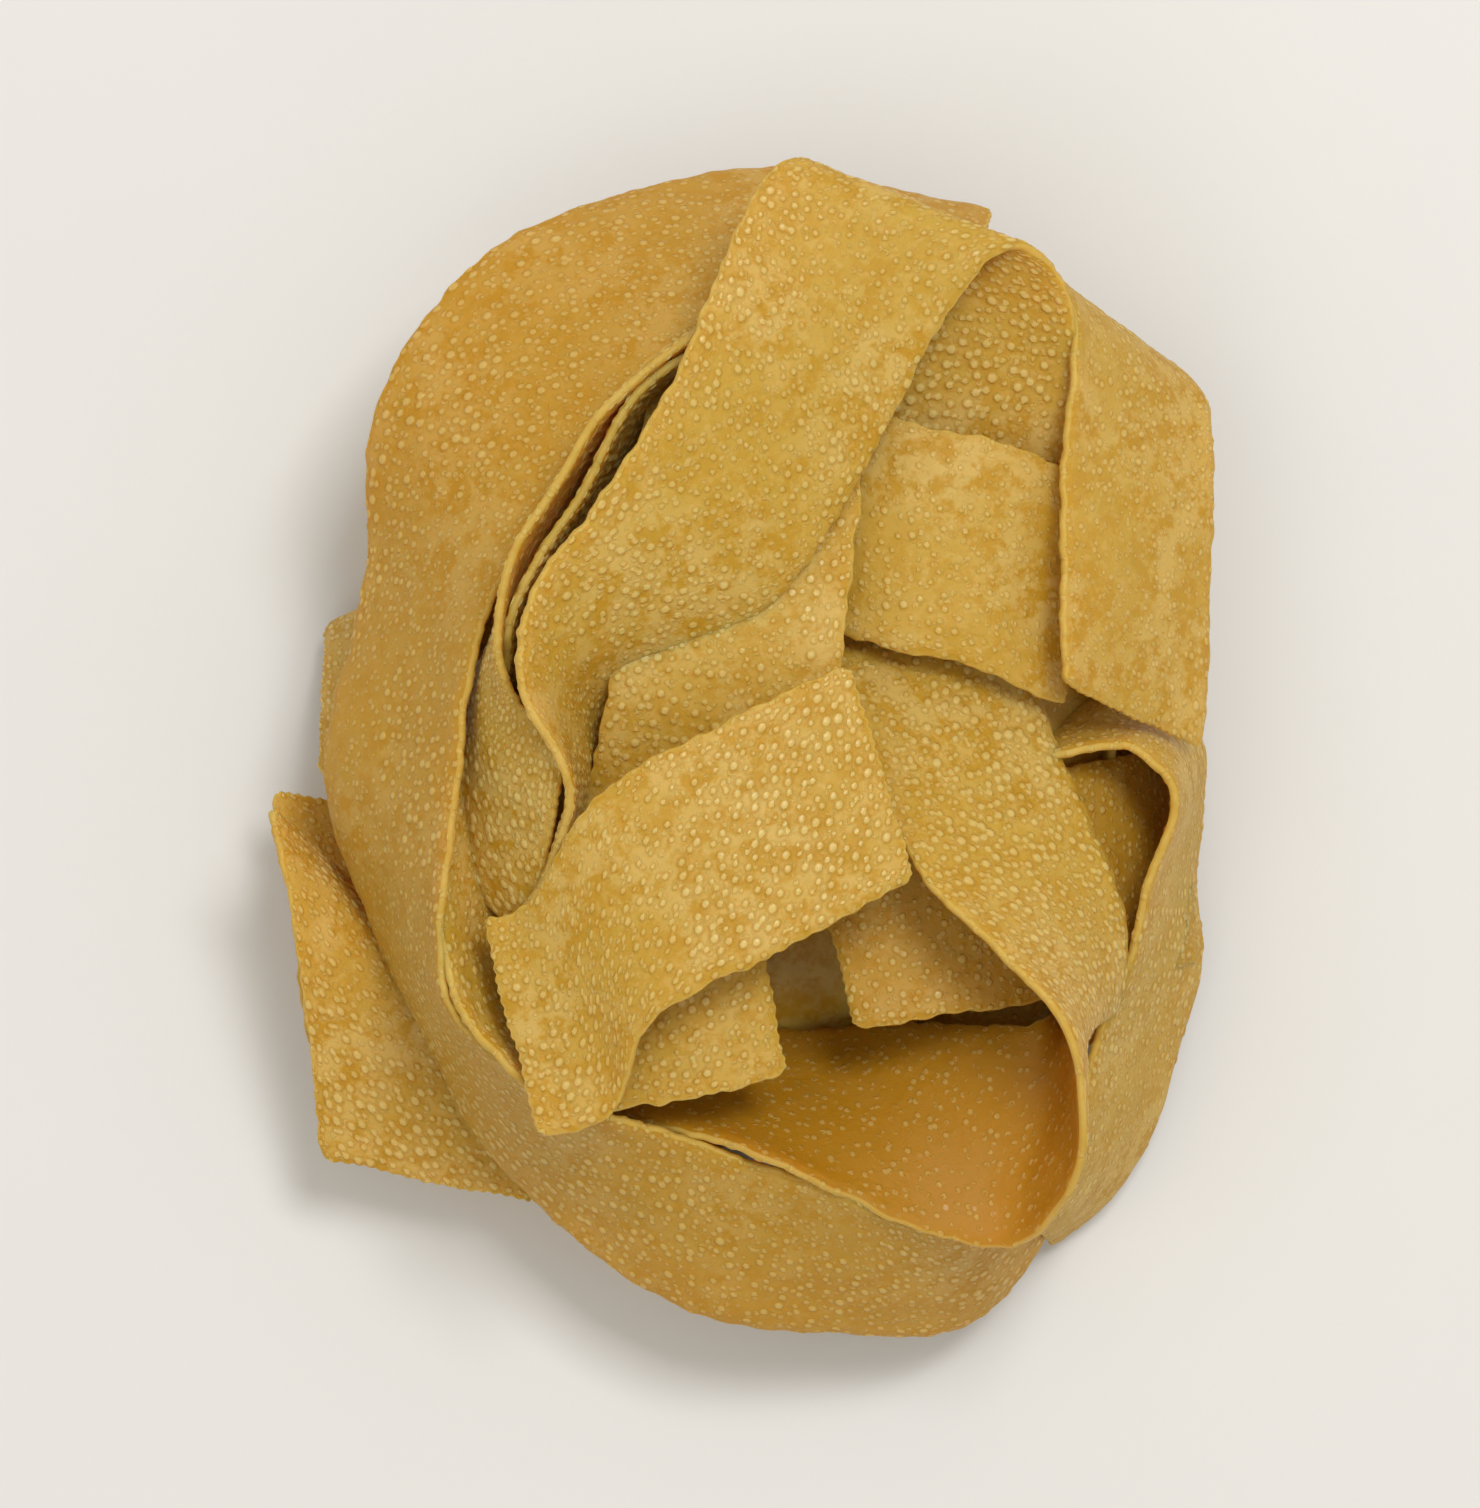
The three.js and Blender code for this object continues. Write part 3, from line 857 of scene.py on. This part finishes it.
class Wire:
    """A shader socket that takes part in arithmetic, each operation adding its Math node."""

    def __init__(self, graph: Graph, socket: bpy.types.NodeSocket) -> None:
        """Wraps one output of a node of the graph."""
        self.graph = graph
        self.socket = socket

    def _joined(self, operation: str, left: Any, right: Any) -> Wire:
        """Adds the Math node that joins two values."""
        node = self.graph.node("ShaderNodeMath", {"operation": operation}, {0: left, 1: right})
        return Wire(self.graph, node.outputs[0])

    def __add__(self, other: Any) -> Wire:
        """Adds."""
        return self._joined("ADD", self, other)

    def __radd__(self, other: Any) -> Wire:
        """Adds, from the right."""
        return self._joined("ADD", other, self)

    def __sub__(self, other: Any) -> Wire:
        """Subtracts."""
        return self._joined("SUBTRACT", self, other)

    def __rsub__(self, other: Any) -> Wire:
        """Subtracts from a number."""
        return self._joined("SUBTRACT", other, self)

    def __mul__(self, other: Any) -> Wire:
        """Multiplies."""
        return self._joined("MULTIPLY", self, other)

    def __rmul__(self, other: Any) -> Wire:
        """Multiplies, from the right."""
        return self._joined("MULTIPLY", other, self)


class Graph:
    """The nodes of one material."""

    def __init__(self, name: str) -> None:
        """Starts an empty material.

        Args:
            name: The material's name.
        """
        self.material = bpy.data.materials.new(name)
        self.material.use_nodes = True
        self.tree = self.material.node_tree
        self.tree.nodes.clear()

    def node(self, kind: str, settings: dict[str, Any], sockets: dict[str | int, Any]) -> bpy.types.Node:
        """Adds one node.

        Args:
            kind: The node's type.
            settings: Its properties.
            sockets: A value, a Wire or an output for each input named.

        Returns:
            The node.
        """
        node = self.tree.nodes.new(kind)
        for name, value in settings.items():
            setattr(node, name, value)
        for key, value in sockets.items():
            if isinstance(key, int):
                socket = node.inputs[key]
            else:
                socket = next(s for s in node.inputs if s.name == key and s.enabled)
            if isinstance(value, Wire):
                value = value.socket
            if isinstance(value, bpy.types.NodeSocket):
                self.tree.links.new(value, socket)
            else:
                socket.default_value = value
        return node

    def wire(self, node: bpy.types.Node, output: str) -> Wire:
        """Takes one output of a node into arithmetic."""
        return Wire(self, next(s for s in node.outputs if s.name == output and s.enabled))

    def attribute(self, name: str) -> Wire:
        """Reads a number that the mesh holds at its vertices."""
        return self.wire(self.node("ShaderNodeAttribute", {"attribute_name": name}, {}), "Fac")

    def noise(self, place: Any, scale: float, detail: float, roughness: float) -> Wire:
        """Adds fractal noise.

        Args:
            place: Where it is read.
            scale: How many cells it has to the metre.
            detail: How many times it is laid over itself, finer.
            roughness: How strong the finer layers are.

        Returns:
            Its value, from 0 to 1.
        """
        settings = {"noise_dimensions": "3D"}
        sockets = {"Vector": place, "Scale": scale, "Detail": detail, "Roughness": roughness}
        return self.wire(self.node("ShaderNodeTexNoise", settings, sockets), "Fac")

    def pearls(self, place: Any, scale: float, randomness: float) -> Wire:
        """Adds round spots on a flat sheet.

        Args:
            place: Where they are read.
            scale: How many there are to the metre.
            randomness: How unevenly they are strewn, from 0 to 1.

        Returns:
            The distance from the middle of the nearest one, in cells.
        """
        settings = {"voronoi_dimensions": "2D", "feature": "F1"}
        sockets = {"Vector": place, "Scale": scale, "Randomness": randomness}
        return self.wire(self.node("ShaderNodeTexVoronoi", settings, sockets), "Distance")

    def band(self, value: Any, low: float, high: float) -> Wire:
        """Turns a value into a share.

        Args:
            value: The value.
            low: Where the share starts to rise from 0.
            high: Where it reaches 1.

        Returns:
            The share.
        """
        settings = {"interpolation_type": "SMOOTHSTEP", "clamp": True}
        sockets = {"Value": value, "From Min": low, "From Max": high}
        return self.wire(self.node("ShaderNodeMapRange", settings, sockets), "Result")

    def blend(self, share: Any, first: Any, second: Any) -> bpy.types.NodeSocket:
        """Mixes two colours.

        Args:
            share: How much of the second there is, from 0 to 1.
            first: The first colour.
            second: The second colour.

        Returns:
            The mixed colour.
        """
        node = self.node("ShaderNodeMix", {"data_type": "RGBA"}, {"Factor": share, "A": first, "B": second})
        return next(s for s in node.outputs if s.name == "Result" and s.enabled)

    def finish(self, shader: bpy.types.Node) -> bpy.types.Material:
        """Ends the material with its shader."""
        self.node("ShaderNodeOutputMaterial", {}, {"Surface": shader.outputs[0]})
        return self.material


@dataclass(frozen=True)
class Marks:
    """What marks the dough at a point, each as a share or a noise from 0 to 1; some of them place painted shade and
    painted highlights.
    """

    pallor: Wire
    rim: Wire
    tone: Wire
    streaks: Wire
    clouds: Wire
    patches: Wire
    crumbs: Wire
    grit: Wire
    dome: Wire
    foot_shade: Wire
    pearl: Wire
    pearl_foot_shade: Wire


@dataclass(frozen=True)
class EggPasta:
    """Dry egg dough: ochre ground with golden stains and paler blisters, a painted highlight along its rims, painted
    shade round its blisters and on shaded faces, and a little light let through.

    Attributes:
        name: The material's name.
        ground: The dough's own colour.
        stain: Its egg-yellow stains.
        fair: Its floury patches.
        foot_shade: The painted shade in the ring round a blister.
        blister: The blisters themselves.
        rim: The painted highlight along the cut rims.
        deep_tone_and_shade: The darker orange laid on a face: painted shade, and on a smooth face partly its own darker
            colour.
        gloss: Its roughness.
        grit_gloss: How much rougher the grit makes it.
        dome_gloss: How much smoother the blisters are.
        cloud_cells: How many cells the noise of its clouds has to the metre.
        patch_cells: The same for its stained patches.
        streak_cells: The same for its streaks.
        crumb_cells: The same for its crumbs.
        grit_cells: The same for its grit.
        pearl_cells: How many tiny blisters there may be to the metre.
        grain_squash: How far the grain is squeezed along the ribbon, which draws its streaks out.
        pearl_randomness: How unevenly the tiny blisters are strewn.
        relief_depth: The height of the fine relief in metres.
        relief_strength: How strongly it shows.
        refraction: Its index of refraction.
        sheen: How strongly it reflects, as the shader's specular level.
        glow: How much of the light goes through the dough.
        glow_depth: How far that light goes, in metres.
        glow_reach: How far its red, green and blue go, as shares of that.
    """

    name: str = "egg_pasta"
    ground: Colour = (0.575, 0.357, 0.045, 1)
    stain: Colour = (0.52, 0.275, 0.004, 1)
    fair: Colour = (0.67, 0.468, 0.13, 1)
    foot_shade: Colour = (0.42, 0.22, 0.01, 1)
    blister: Colour = (0.79, 0.63, 0.22, 1)
    rim: Colour = (0.73, 0.515, 0.13, 1)
    deep_tone_and_shade: Colour = (0.46, 0.207, 0.003, 1)
    gloss: float = 0.48
    grit_gloss: float = 0.16
    dome_gloss: float = 0.24
    cloud_cells: float = 90
    patch_cells: float = 420
    streak_cells: float = 900
    crumb_cells: float = 1100
    grit_cells: float = 3200
    pearl_cells: float = 950
    grain_squash: float = 0.25
    pearl_randomness: float = 0.85
    relief_depth: float = 0.0002
    relief_strength: float = 0.9
    refraction: float = 1.45
    sheen: float = 0.42
    glow: float = 0.7
    glow_depth: float = 0.002
    glow_reach: tuple[float, float, float] = (1.0, 0.42, 0.07)

    def _marks(self, graph: Graph) -> Marks:
        """Finds what marks the dough: what its mesh holds, and noise on its body and along its grain.

        Args:
            graph: The material's nodes.

        Returns:
            The marks.
        """
        place = graph.node("ShaderNodeTexCoord", {}, {}).outputs["Object"]
        flat = graph.node("ShaderNodeTexCoord", {}, {}).outputs["UV"]
        stretch = {"Vector": flat, "Scale": (self.grain_squash, 1.0, 1.0)}
        grain = graph.node("ShaderNodeMapping", {}, stretch).outputs[0]
        far, pallor, rim, tone = (graph.attribute(name) for name in ("far", "pallor", "rim", "tone"))
        crumbs = graph.noise(place, self.crumb_cells, 2, 0.65)
        spot = graph.pearls(flat, self.pearl_cells, self.pearl_randomness)
        bare = graph.band(crumbs, 0.42, 0.55) * graph.band(far, 1.1, 1.4)
        return Marks(
            pallor=pallor,
            rim=rim,
            tone=tone,
            streaks=graph.noise(grain, self.streak_cells, 2, 0.6),
            clouds=graph.noise(place, self.cloud_cells, 2, 0.6),
            patches=graph.noise(place, self.patch_cells, 3, 0.7),
            crumbs=crumbs,
            grit=graph.noise(place, self.grit_cells, 2, 0.6),
            dome=1 - graph.band(far, 0.62, 1.0),
            # Painted shade in the rings round the blisters and the tiny ones.
            foot_shade=graph.band(far, 0.84, 1.04) * (1 - graph.band(far, 1.08, 1.45)),
            pearl=(1 - graph.band(spot, 0.18, 0.3)) * bare,
            pearl_foot_shade=graph.band(spot, 0.24, 0.31) * (1 - graph.band(spot, 0.33, 0.42)) * bare,
        )

    def _colour(self, graph: Graph, marks: Marks) -> bpy.types.NodeSocket:
        """Colours the dough, one mark over the other.

        Args:
            graph: The material's nodes.
            marks: What marks the dough.

        Returns:
            The colour.
        """
        yellowing = graph.band(marks.patches, 0.43, 0.6) * (0.5 + 0.5 * graph.band(marks.clouds, 0.36, 0.58))
        coats: list[tuple[Wire, Colour]] = [
            (graph.band(marks.clouds, 0.42, 0.6) * 0.7, self.fair),
            (yellowing * 0.9, self.stain),
            (graph.band(marks.crumbs, 0.48, 0.66) * 0.4, self.fair),
            (graph.band(marks.streaks, 0.5, 0.75) * 0.12, self.fair),
            (graph.band(marks.rim, 0.1, 0.6) * 0.3, self.stain),
            # Painted shade, with a smooth face's own darker colour, darkens the faces that carry it.
            (marks.tone, self.deep_tone_and_shade),
            # Painted shade in the rings round the blisters.
            (marks.foot_shade * marks.pallor * 0.45 + marks.pearl_foot_shade * 0.25, self.foot_shade),
            (marks.dome * marks.pallor * 0.6 + marks.pearl * 0.3, self.blister),
            # A painted highlight along the cut rims.
            (graph.band(marks.rim, 0.85, 1.0) * 0.4, self.rim),
        ]
        colour: Any = self.ground
        for share, coat in coats:
            colour = graph.blend(share, colour, coat)
        return colour

    def material(self) -> bpy.types.Material:
        """Builds the material.

        Returns:
            The material.
        """
        graph = Graph(self.name)
        marks = self._marks(graph)
        fine = 0.35 * marks.crumbs + 0.25 * marks.grit + 0.2 * marks.streaks
        relief = fine + 0.45 * marks.pearl + 0.9 * (marks.dome * marks.pallor)
        bump = graph.node("ShaderNodeBump", {}, {
            "Strength": self.relief_strength, "Distance": self.relief_depth, "Height": relief,
        })
        shader = graph.node("ShaderNodeBsdfPrincipled", {"subsurface_method": "BURLEY"}, {
            "Base Color": self._colour(graph, marks),
            "Roughness": self.gloss + self.grit_gloss * marks.grit - self.dome_gloss * marks.dome,
            "Normal": bump.outputs[0],
            "IOR": self.refraction,
            "Specular IOR Level": self.sheen,
            "Subsurface Weight": self.glow,
            "Subsurface Scale": self.glow_depth,
            "Subsurface Radius": self.glow_reach,
        })
        return graph.finish(shader)


@dataclass(frozen=True)
class Core:
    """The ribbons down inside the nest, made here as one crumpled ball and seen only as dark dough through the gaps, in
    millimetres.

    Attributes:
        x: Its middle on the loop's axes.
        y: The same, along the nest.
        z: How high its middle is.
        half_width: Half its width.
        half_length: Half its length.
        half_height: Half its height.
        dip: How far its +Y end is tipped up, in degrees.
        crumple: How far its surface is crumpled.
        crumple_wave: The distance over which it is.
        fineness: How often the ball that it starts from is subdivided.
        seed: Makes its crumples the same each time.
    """

    x: float = -1.0
    y: float = 6.0
    z: float = 11.5
    half_width: float = 25.0
    half_length: float = 33.0
    half_height: float = 9.0
    dip: float = 8.0
    crumple: float = 1.6
    crumple_wave: float = 7.0
    fineness: int = 5
    seed: int = 71

    def build(self, oval: Oval) -> bpy.types.Object:
        """Makes the core's piece.

        Args:
            oval: Where the middle of the nest's box is.

        Returns:
            The finished piece.
        """
        ball = bmesh.new()
        bmesh.ops.create_icosphere(ball, subdivisions=self.fineness, radius=1)
        turn = Matrix.Rotation(math.radians(self.dip), 4, "X")
        size = Matrix.Diagonal((self.half_width, self.half_length, self.half_height, 1))
        bmesh.ops.transform(ball, verts=ball.verts[:], matrix=turn @ size)
        places = np.array([vert.co for vert in ball.verts])
        rng = np.random.default_rng(self.seed)
        swell = unevenness(rng, places[:, 0], places[:, 1] + 2 * places[:, 2], self.crumple_wave)
        for vert, amount in zip(ball.verts, swell):
            vert.co += vert.normal * float(amount) * self.crumple
        shift = Vector((self.x - oval.box_x, self.y - oval.box_y, self.z))
        bmesh.ops.translate(ball, verts=ball.verts[:], vec=shift)
        bmesh.ops.scale(ball, verts=ball.verts[:], vec=(MM, MM, MM))
        for face in ball.faces:
            face.smooth = True
        mesh = bpy.data.meshes.new("core")
        ball.to_mesh(mesh)
        ball.free()
        piece = bpy.data.objects.new("core", mesh)
        bpy.context.collection.objects.link(piece)
        return piece


@dataclass(frozen=True)
class Nest:
    """The whole nest: its ribbons and its core.

    Attributes:
        oval: The loop that it is wound round.
        seed: The first ribbon's seed, which the others count on from.
    """

    oval: Oval = field(default_factory=Oval)
    seed: int = 4100

    def ribbons(self) -> list[Ribbon]:
        """Lists the nest's ribbons.

        Returns:
            The open ribbons, then those of the sides and the bottom.
        """
        made: list[Ribbon] = []
        for i, (name, rows) in enumerate(OPEN_ROUTES.items()):
            fineness = Fineness.TWISTED if name in TWISTED else Fineness.OPEN
            skins = SKINS.get(name, (Skin.FULL, Skin.FULL))
            made.append(Ribbon(name, rows, fineness, skins, self.seed + i, oval=self.oval))
        for i, (name, form) in enumerate(TUCKED_FORMS.items()):
            skins = (Skin.FINE, Skin.FINE)
            seed = self.seed + len(OPEN_ROUTES) + i
            made.append(Ribbon(name, form.rows(self.oval), Fineness.TUCKED, skins, seed, oval=self.oval))
        return made

    def build(self, finish: EggPasta) -> list[bpy.types.Object]:
        """Builds and dresses every piece.

        Args:
            finish: What the dough looks like.

        Returns:
            The pieces.
        """
        material = finish.material()
        pieces = [ribbon.build() for ribbon in self.ribbons()]
        pieces.append(Core().build(self.oval))
        for piece in pieces:
            piece.data.materials.append(material)
            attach(piece, BODY)
            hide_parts(NODE)
        return pieces


@dataclass(frozen=True)
class Lamp:
    """A soft square lamp, in metres and watts.

    Attributes:
        name: Its name.
        place: Where it hangs.
        size: Its side.
        power: Its power.
        colour: Its light's colour.
    """

    name: str
    place: tuple[float, float, float]
    size: float
    power: float
    colour: tuple[float, float, float]

    def hang(self, aim: Vector) -> None:
        """Hangs the lamp.

        Args:
            aim: The point that it faces.
        """
        data = bpy.data.lights.new(self.name, "AREA")
        data.size = self.size
        data.energy = self.power
        data.color = self.colour
        lamp = bpy.data.objects.new(self.name, data)
        lamp.location = self.place
        lamp.rotation_euler = (aim - lamp.location).to_track_quat("-Z", "Y").to_euler()
        bpy.context.collection.objects.link(lamp)


@dataclass(frozen=True)
class Studio:
    """A pale floor, soft light and a camera that looks straight down, in metres.

    Attributes:
        floor_size: The floor's side.
        floor_colour: The floor's colour.
        floor_shade: How light the floor's darker patches are, as a share of the rest.
        floor_cells: How many of those patches there are to the metre.
        lamps: The lamps.
        sky_colour: The colour of the light from all round.
        sky_strength: Its strength.
        camera_height: How high the camera is.
        sensor: The width of its sensor, in millimetres.
        frame_height: How much of the nest's length fits in the frame, at the aim's height.
        aim_height: The height that it is set for, and that the lamps face.
    """

    floor_size: float = 3.0
    floor_colour: Colour = (0.86, 0.87, 0.88, 1)
    floor_shade: float = 0.97
    floor_cells: float = 40
    lamps: tuple[Lamp, ...] = (
        Lamp("key", (0.21, 0.33, 0.90), 0.28, 4.2, (1.0, 0.985, 0.955)),
        Lamp("front", (-0.3, -0.2, 1.0), 0.7, 1.3, (1.0, 0.99, 0.97)),
    )
    sky_colour: Colour = (1.0, 0.93, 0.82, 1)
    sky_strength: float = 0.51
    camera_height: float = 0.78
    sensor: float = 36.0
    frame_height: float = 0.124
    aim_height: float = 0.025

    def _floor(self) -> None:
        """Lays the floor."""
        sheet = bmesh.new()
        bmesh.ops.create_grid(sheet, x_segments=4, y_segments=4, size=self.floor_size / 2)
        mesh = bpy.data.meshes.new("floor")
        sheet.to_mesh(mesh)
        sheet.free()
        floor = bpy.data.objects.new("floor", mesh)
        bpy.context.collection.objects.link(floor)
        graph = Graph("pale_floor")
        place = graph.node("ShaderNodeTexCoord", {}, {}).outputs["Object"]
        speckle = graph.noise(place, self.floor_cells, 4, 0.6)
        darker = tuple(self.floor_shade * part for part in self.floor_colour[:3]) + (1,)
        colour = graph.blend(speckle, self.floor_colour, darker)
        shader = graph.node("ShaderNodeBsdfPrincipled", {}, {"Base Color": colour, "Roughness": 0.8})
        floor.data.materials.append(graph.finish(shader))

    def _sky(self) -> None:
        """Lights the room from all round, and has its colours shown unchanged."""
        world = bpy.data.worlds.new("room")
        world.use_nodes = True
        sky = world.node_tree.nodes["Background"]
        sky.inputs["Color"].default_value = self.sky_colour
        sky.inputs["Strength"].default_value = self.sky_strength
        bpy.context.scene.world = world
        bpy.context.scene.view_settings.view_transform = "Standard"

    def _camera(self) -> None:
        """Sets up the camera over the middle of the nest."""
        lens = bpy.data.cameras.new("camera")
        lens.sensor_width = self.sensor
        distance = self.camera_height - self.aim_height
        lens.lens = self.sensor / 2 / (self.frame_height / 2 / distance)
        camera = bpy.data.objects.new("camera", lens)
        camera.location = (0, 0, self.camera_height)
        bpy.context.collection.objects.link(camera)
        bpy.context.scene.camera = camera

    def build(self) -> None:
        """Sets up the floor, the lamps, the sky and the camera."""
        self._floor()
        for lamp in self.lamps:
            lamp.hang(Vector((0, 0, self.aim_height)))
        self._sky()
        self._camera()


def main() -> None:
    """Builds the nest over its frame, then the studio."""
    logging.basicConfig(level=logging.INFO, format="%(name)s %(message)s")
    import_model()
    for piece in Nest().build(EggPasta()):
        LOG.info("%s: %d triangles", piece.name, sum(len(face.vertices) - 2 for face in piece.data.polygons))
    Studio().build()


if __name__ == "__main__":
    main()
